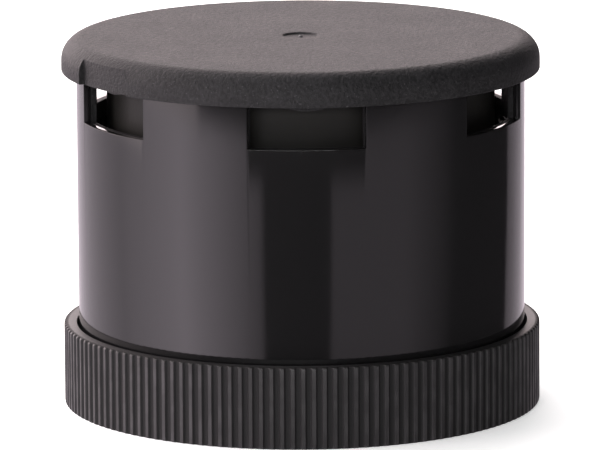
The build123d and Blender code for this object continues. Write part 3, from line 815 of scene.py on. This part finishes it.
def makeCap():
    outer, top, bend, foot = capHigh.x, capHigh.z, cap["bend"], cap["foot"]
    under, rim = top - cap["thickness"], top - cap["rimHeight"]
    inner = tube["radius"] + cap["rimGap"]
    dish, depth, nub = cap["dishRadius"], cap["dishDepth"], cap["nubRadius"]
    floor = top - depth
    crown = top - cap["nubDrop"]
    outline = [(0, crown)] + arc((0, crown - nub), nub, 75, 10, 5)
    outline += [(nub, floor), (dish - cap["dishWall"], floor), (dish, top)]
    outline += [(r, top) for r in cap["topRings"]]
    outline += arc((outer - bend, top - bend), bend, 90, 0, 16)
    outline += arc((outer - foot, rim + foot), foot, 0, -90, 5)
    outline += [(inner, rim), (inner, under), (cap["skirtOuter"], under)]
    outline += [(cap["skirtOuter"], cap["skirtFoot"]), (cap["skirtInner"], cap["skirtFoot"])]
    hub = cap["hub"]
    outline += [(cap["skirtInner"], under), (hub["rim"], under), (hub["tip"], under - hub["drop"])]
    outline += [(0, under - hub["drop"])]
    piece = newPiece("topCap", sweep(outline, start=halfStep), "capPlastic")
    notch = slab(outer - cap["recessDepth"], outer + 2, rim - 1, top + 1)
    recess = sweep(notch, cap["recessStart"], cap["recessTurn"], 24)
    opening = slab(cap["skirtInner"] - 0.5, inner - 0.05, tube["sill"], under)
    half = tube["windowTurn"] / 2
    windows = [sweep(opening, angle - half, tube["windowTurn"], 24) for angle in windowAngles]
    cutAway(piece, [recess] + windows)
    breakEdges(piece, cap["edge"])
    sink = cap["sink"]
    ribReach = (cap["ribStart"], cap["skirtInner"] + sink)
    ribHeights = (under - cap["ribHeight"], under + sink)
    tongues = [tongueMesh(angle) for angle in windowAngles]
    ribs = [block(ribReach, cap["ribHalf"], ribHeights, angle) for angle in pillarAngles]
    keyReach = (cap["skirtOuter"] - sink, cap["skirtOuter"] + cap["keyDepth"])
    key = block(keyReach, cap["keyHalf"], (cap["skirtFoot"], under), pillarAngles[0])
    piece.data = joined([piece.data] + tongues + ribs + [key])
    piece.data.materials.append(materials["capPlastic"])
    return show(smooth(piece, 20), "casing", "cap_plastic", "top_cap")


makeCap()
print("top cap")

# ---- lock ring ----
ring = {
    "ribs": 144,
    "depth": 0.35,
    "crestHalf": 0.19,
    "rootHalf": 0.28,
    "bore": 33.1,
    "inner": 33.6,
    "socket": 31.4,
    "web": 2.0,
    "lip": 3.0,
    "round": 0.3,
    "boreRound": 0.12,
    "stepsPerRib": 12,
    "footWidth": 0.9,
    "notch": 14.0,
    "travel": 30.0,
    "stop": {"turn": 4.0, "inset": 0.9, "low": 2.5, "high": 7.3},
    "guard": {"foot": 8.2, "inset": 0.1, "slack": 0.5},
    "sink": 0.3,
}


def makeRing():
    outer, top, edge = ringHigh.x, ringHigh.z, ring["round"]
    steps = ring["ribs"] * ring["stepsPerRib"]
    outline = [(ring["inner"], 0), (outer - ring["footWidth"], 0)]
    outline += arc((outer - edge, edge), edge, -90, 0, 4)
    outline += [(outer, top * k / 6) for k in range(1, 6)]
    outline += arc((outer - edge, top - edge), edge, 0, 90, 4) + [(outer - ring["footWidth"], top)]
    inside = ring["boreRound"]
    outline += arc((ring["bore"] + inside, top - inside), inside, 90, 180, 4)
    outline += [(ring["bore"], top - ring["web"]), (ring["inner"], top - ring["web"])]
    piece = newPiece("lockRing", sweep(outline, steps=steps), "ringPlastic")
    sizes = {
        "Ribs": ring["ribs"],
        "Crest radius": outer * mm,
        "Depth": ring["depth"] * mm,
        "Crest half": ring["crestHalf"],
        "Root half": ring["rootHalf"],
        "Material": materials["ringPlastic"],
    }
    runTree(piece, ribTree(sizes), sizes)
    notch, travel, stop, guard = ring["notch"], ring["travel"], ring["stop"], ring["guard"]
    buried = ring["inner"] + ring["sink"]
    lip = slab(ring["socket"], buried, 0, ring["lip"])
    stopBar = slab(ring["socket"] + stop["inset"], buried, stop["low"], stop["high"])
    guardFoot, guardTop = guard["foot"], top - ring["web"] + ring["sink"]
    guardBar = slab(ring["bore"] + guard["inset"], buried, guardFoot, guardTop)
    guardTurn = 60 - snapCatch["turn"] - travel - 2 * guard["slack"]
    extras = []
    for k in range(3):
        entry = 270 + 120 * k
        extras.append(sweep(lip, entry + notch / 2, 120 - notch, 84))
        extras.append(sweep(stopBar, entry + notch / 2 + travel, stop["turn"], 6))
        guardStart = entry + snapCatch["turn"] / 2 + guard["slack"]
        extras.append(sweep(guardBar, guardStart, guardTurn, 12))
    piece.data = joined([piece.data] + extras)
    piece.data.materials.append(materials["ringPlastic"])
    return show(smooth(piece, 50), "lock_ring", "ring_plastic", "lock_ring")


makeRing()
print("lock ring")

# ---- base screws and contact pins ----
screw = {
    "headRadius": 2.1,
    "headHeight": 1.3,
    "crown": 0.55,
    "shank": 1.08,
    "tip": 0.5,
    "tipShare": 0.4,
    "circle": 24.0,
    "slotReach": 0.65,
    "slotWidth": 0.6,
    "slotDepth": 0.7,
    "edge": 0.06,
}


def makeScrews():
    head, depth, crown = screw["headRadius"], screw["headHeight"], screw["crown"]
    shank, length = screw["shank"], screwHigh.z - screwLow.z
    outline = [(0, 0)] + arc((head - crown, crown), crown, -90, 0, 5)
    outline += [(head, depth), (shank, depth)]
    outline += [(shank, length - screw["tip"]), (shank * screw["tipShare"], length), (0, length)]
    piece = newPiece("baseScrews", sweep(outline, steps=48), "zincSteel")
    reach, sunk = head * screw["slotReach"], screw["slotDepth"]
    for turn in (0, 90):
        cutAway(piece, [block((-reach, reach), screw["slotWidth"] / 2, (-sunk, sunk), turn)])
    breakEdges(piece, screw["edge"])
    sizes = {
        "Count": 3,
        "Radius": screw["circle"] * mm,
        "Height": screwLow.z * mm,
        "Start": math.radians(30),
        "Step": math.radians(120),
        "Material": materials["zincSteel"],
    }
    runTree(piece, circleTree(sizes), sizes)
    return show(smooth(piece), "casing", "screw_steel", "base_screws")


pin = {"radius": 0.6, "count": 6, "pitch": 3.6, "tip": 0.45, "end": 0.15}


def makePins():
    radius, low, high = pin["radius"], pinLow.z, pinHigh.z
    tip, end = pin["tip"], pin["end"]
    outline = [(0, low)] + arc((radius - tip, low + tip), tip, -80, 0, 5)
    outline += [(radius, high - end), (radius - end, high), (0, high)]
    piece = newPiece("contactPins", sweep(outline, steps=32), "goldPlate")
    sizes = {
        "Count": pin["count"],
        "Pitch": pin["pitch"] * mm,
        "Begin": -pin["pitch"] * (pin["count"] - 1) / 2 * mm,
        "Material": materials["goldPlate"],
    }
    runTree(piece, rowTree(sizes), sizes)
    return show(smooth(piece), "casing", "contact_brass", "contact_pins")


makeScrews()
makePins()
print("screws and pins")

# ---- studio ----
studio = {
    "floorWidth": 6.0,
    "floorDrop": 0.02,
    "floorColour": grey(0.9),
    "floorGlow": 0.42,
    "worldGlow": 1.0,
    "lampAim": (0, 0, 0.03),
}


def floorPaper():
    # pale paper that is clear from below, so that the underside can be looked at
    made = bpy.data.materials.new("paper")
    made.use_nodes = True
    made.node_tree.nodes.clear()
    graph = Graph(made.node_tree)
    dust = graph.noise(40.0, 2.0)
    pale = studio["floorColour"]
    values = {
        "Base Color": graph.blend(dust, shade(pale, 0.99), shade(pale, 1.01)),
        "Roughness": 0.8 + (dust - 0.5) * 0.05,
        "Emission Color": grey(1.0),
        "Emission Strength": studio["floorGlow"],
    }
    paper = graph.add("ShaderNodeBsdfPrincipled", None, values)
    clear = graph.add("ShaderNodeBsdfTransparent")
    below = graph.add("ShaderNodeNewGeometry", output=6)
    seen = graph.add("ShaderNodeMixShader", None, {0: below, 1: paper, 2: clear})
    graph.add("ShaderNodeOutputMaterial", None, {"Surface": seen})
    return made


def makeFloor():
    made = bmesh.new()
    bmesh.ops.create_grid(made, x_segments=1, y_segments=1, size=studio["floorWidth"] / 2)
    mesh = bpy.data.meshes.new("floor")
    made.to_mesh(mesh)
    made.free()
    floor = bpy.data.objects.new("floor", mesh)
    bpy.context.scene.collection.objects.link(floor)
    mesh.materials.append(floorPaper())
    floor.location.z = -studio["floorDrop"] * mm
    floor.visible_glossy = False


# soft panels round the object: turn from the front in degrees, and the level at each end
lowPanels = {
    "rightNear": ((13.5, 0.52), (52, 0.52)),
    "rightFade": ((52, 0.52), (84, 0.05)),
    "rightBack": ((130, 0.4), (165, 0.95)),
    "back": ((165, 0.95), (252, 1.05)),
    "leftFar": ((252, 1.05), (295, 2.7)),
    "leftNear": ((295, 2.7), (339, 0.65)),
}
highPanels = {
    "back": ((165, 3.0), (235, 5.2)),
    "leftBack": ((235, 5.2), (305, 1.8)),
}
room = {
    "shade": 0.03,
    "softness": 2.0,
    "strength": 6.0,
    "lowTint": (1.0, 0.88, 0.97),
    "highTint": (1.0, 0.86, 0.87),
    "overheadRight": 0.1,
    "overheadLeft": 1.0,
    "wallSplit": (-0.03, 0.05),
    "overheadSplit": (-0.35, 0.35),
    "ceilingFrom": (0.5, 0.8),
}


def panelStops(panels, tint):
    # stops of a ramp once round the room, dark wherever no panel stands
    dark = grey(room["shade"] / room["strength"], tint)
    soft, stops, last = room["softness"] / 2, [(0.0, dark)], 0.0
    for (start, first), (end, second) in panels.values():
        if start > last:
            stops.append(((start - soft) / 360, dark))
        stops.append(((start + soft) / 360, grey(first / room["strength"], tint)))
        stops.append(((end - soft) / 360, grey(second / room["strength"], tint)))
        last = end
        following = [begin for (begin, _), _ in panels.values() if begin == end]
        if not following:
            stops.append(((end + soft) / 360, dark))
    return stops + [(1.0, dark)]


def makeWorld():
    world = bpy.data.worlds.new("room")
    bpy.context.scene.world = world
    world.use_nodes = True
    world.node_tree.nodes.clear()
    graph = Graph(world.node_tree)
    ray = graph.add("ShaderNodeLightPath")
    toCamera = Wire(graph, ray.socket.node.outputs["Is Camera Ray"])
    direction = graph.add("ShaderNodeNewGeometry", output=4)
    along, across, up = graph.parts(direction)
    turn = along.maths("ARCTAN2", along * -1, across) / (2 * math.pi)
    around = turn.maths("FRACT", turn + 1.0)
    strength = room["strength"]
    lowStops = panelStops(lowPanels, room["lowTint"])
    highStops = panelStops(highPanels, room["highTint"])
    low = graph.add("ShaderNodeValToRGB", {"stops": lowStops}, {0: around})
    high = graph.add("ShaderNodeValToRGB", {"stops": highStops}, {0: around})
    walls = graph.blend(graph.between(up * -1, *room["wallSplit"]), low, high)
    left = graph.between(along, *room["overheadSplit"])
    dim, bright = grey(room["overheadRight"] / strength), grey(room["overheadLeft"] / strength)
    ceiling = graph.blend(left, dim, bright)
    whole = graph.blend(graph.between(up * -1, *room["ceilingFrom"]), walls, ceiling)
    glow = graph.add("ShaderNodeBackground", None, {0: whole, 1: strength})
    sky = graph.add("ShaderNodeBackground", None, {0: grey(1.0), 1: studio["worldGlow"]})
    mixed = graph.add("ShaderNodeMixShader", None, {0: toCamera, 1: glow, 2: sky})
    graph.add("ShaderNodeOutputWorld", None, {0: mixed})


lamps = {
    "topSoft": {"place": (-0.15, 0.45, 0.8), "size": 0.9, "power": 8.0},
    "leftSoft": {"place": (-0.9, -0.1, 0.35), "size": 0.7, "power": 4.5},
    "frontStrip": {
        "place": (-0.14, -0.84, 0.26), "size": 0.8, "height": 0.13, "power": 3.2, "seen": True,
    },
}


def makeLamps():
    for name, setting in lamps.items():
        lamp = bpy.data.lights.new(name, "AREA")
        lamp.shape = "RECTANGLE"
        lamp.size = setting["size"]
        lamp.size_y = setting.get("height", setting["size"])
        lamp.energy = setting["power"]
        holder = bpy.data.objects.new(name, lamp)
        bpy.context.scene.collection.objects.link(holder)
        holder.location = setting["place"]
        aim = Vector(studio["lampAim"]) - holder.location
        holder.rotation_euler = aim.to_track_quat("-Z", "Y").to_euler()
        holder.visible_camera = False
        holder.visible_glossy = setting.get("seen", False)


shot = {
    "turn": -1.5,
    "tilt": 11.03,
    "roll": 0.32,
    "distance": 992.6,
    "aimX": -0.207,
    "aimZ": 25.90,
    "lens": 405.3,
    "sensor": 36.0,
    "clip": (0.05, 20.0),
}


def makeCamera():
    camera = bpy.data.cameras.new("camera")
    holder = bpy.data.objects.new("camera", camera)
    bpy.context.scene.collection.objects.link(holder)
    camera.sensor_width = shot["sensor"]
    camera.lens = shot["lens"]
    camera.clip_start, camera.clip_end = shot["clip"]
    turn, tilt = math.radians(shot["turn"]), math.radians(shot["tilt"])
    level = Vector((math.sin(turn), -math.cos(turn), 0)) * math.cos(tilt)
    back = level + Vector((0, 0, math.sin(tilt)))
    right = Vector((math.cos(turn), math.sin(turn), 0))
    aim = (right * shot["aimX"] + Vector((0, 0, shot["aimZ"]))) * mm
    facing = (-back).to_track_quat("-Z", "Y").to_matrix().to_4x4()
    rolled = facing @ Matrix.Rotation(math.radians(-shot["roll"]), 4, "Z")
    holder.matrix_world = Matrix.Translation(aim + back * shot["distance"] * mm) @ rolled
    bpy.context.scene.camera = holder


makeFloor()
makeWorld()
makeLamps()
makeCamera()
bpy.context.scene.view_settings.view_transform = "Standard"
print("studio")
